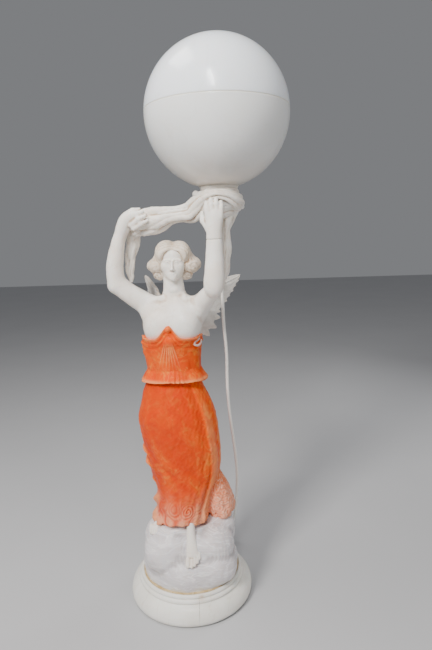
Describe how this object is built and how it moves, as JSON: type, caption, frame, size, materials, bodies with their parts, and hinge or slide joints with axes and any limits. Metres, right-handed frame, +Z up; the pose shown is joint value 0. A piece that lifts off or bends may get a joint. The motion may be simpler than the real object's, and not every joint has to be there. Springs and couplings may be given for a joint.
{
  "type": "figural table lamp",
  "caption": "Table lamp: a winged draped figure on a cloud and round plinth holds a hollow lift-top globe over a screw bulb; switched cord with plug.",
  "frame": {"origin": "centre of the resting face under the plinth", "axes": "+Z up, the figure faces -Y, the globe is offset towards +X"},
  "size_m": [0.3322, 0.3576, 1.0276],
  "materials": {
    "felt": "matt felt",
    "plinth_stone": "polished white alabaster with faint grey and tan veins",
    "cement": "yellow-brown stone cement",
    "steel": "plain steel",
    "cloud_stone": "translucent grey-lavender alabaster with white streaks",
    "white_stone": "warm white alabaster, satin",
    "head_stone": "warm white alabaster, tan in the cuts",
    "orange_stone": "dyed orange alabaster, translucent, with crystal veins",
    "drape_stone": "cream-white alabaster, satin",
    "wing_stone": "grey-cream alabaster, carved",
    "globe_stone": "polished white alabaster, thin and translucent",
    "gasket": "soft seat ring",
    "brass": "turned brass",
    "porcelain": "glazed porcelain",
    "bulb_glass": "frosted glass",
    "bulb_metal": "rolled screw cap",
    "white_plastic": "moulded plastic",
    "cord_sheath": "flexible sheath",
    "rocker_plastic": "moulded plastic",
    "plug_brass": "nickel-plated brass"
  },
  "bodies": {
    "lamp": {"felt_pad": "felt", "plinth": "plinth_stone", "cement_bead": "cement", "base_stud": "steel", "base_washer": "steel", "base_nut": "steel", "figure_rod": "steel", "foot_dowels": "steel", "waist_dowel": "steel", "chest_dowel": "steel", "neck_dowel": "steel", "shoulder_dowels": "steel", "wing_dowels": "steel", "wrist_dowel": "steel", "cup_dowel": "steel", "drape_dowels": "steel", "switch_screws": "steel", "cloud": "cloud_stone", "foot_front": "white_stone", "foot_rear": "white_stone", "torso": "white_stone", "right_arm": "white_stone", "left_arm": "white_stone", "left_hand": "white_stone", "head": "head_stone", "skirt": "orange_stone", "bodice": "orange_stone", "swag_drape": "drape_stone", "drape_tail_left": "drape_stone", "drape_tail_right": "drape_stone", "lamp_cup": "drape_stone", "wing_left": "wing_stone", "wing_right": "wing_stone", "globe_lower": "globe_stone", "globe_gasket": "gasket", "nipple": "brass", "cup_washer": "brass", "cup_nut": "brass", "clamp_disc": "brass", "clamp_nut": "brass", "lampholder_cap": "brass", "lampholder_shell": "brass", "centre_contact": "brass", "screw_shell": "brass", "lampholder_insert": "porcelain", "cord_bush": "white_plastic", "switch_base": "white_plastic", "switch_cover": "white_plastic", "plug_body": "white_plastic", "inner_lead": "cord_sheath", "cord": "cord_sheath", "cord_coil": "cord_sheath", "switch_cable_ends": "cord_sheath", "plug_pins": "plug_brass"},
    "globe_top": {"globe_upper": "globe_stone"},
    "bulb_carrier": {"bulb_contact": "bulb_metal"},
    "bulb": {"bulb_cap": "bulb_metal", "bulb_glass": "bulb_glass"},
    "rocker": {"switch_rocker": "rocker_plastic"}
  },
  "joints": [
    {"name": "globe_lift", "type": "slide", "parent": "lamp", "child": "globe_top", "axis": [0, 0, 1], "range_m": [0, 0.16]},
    {"name": "bulb_rise", "type": "slide", "parent": "lamp", "child": "bulb_carrier", "axis": [0, 0, 1], "range_m": [0, 0.0146]},
    {"name": "bulb_turn", "type": "hinge", "parent": "bulb_carrier", "child": "bulb", "pos_m": [0.075, 0, 0.84], "axis": [0, 0, 1], "range_deg": [0, 1440]},
    {"name": "rocker_tip", "type": "hinge", "parent": "lamp", "child": "rocker", "pos_m": [0.006, 0.152, 0.0145], "axis": [0, 1, 0], "range_deg": [-14, 0]}
  ],
  "couplings": [
    {"joint": "bulb_rise", "follows": "bulb_turn", "m_per_rad": 0.00057773}
  ]
}
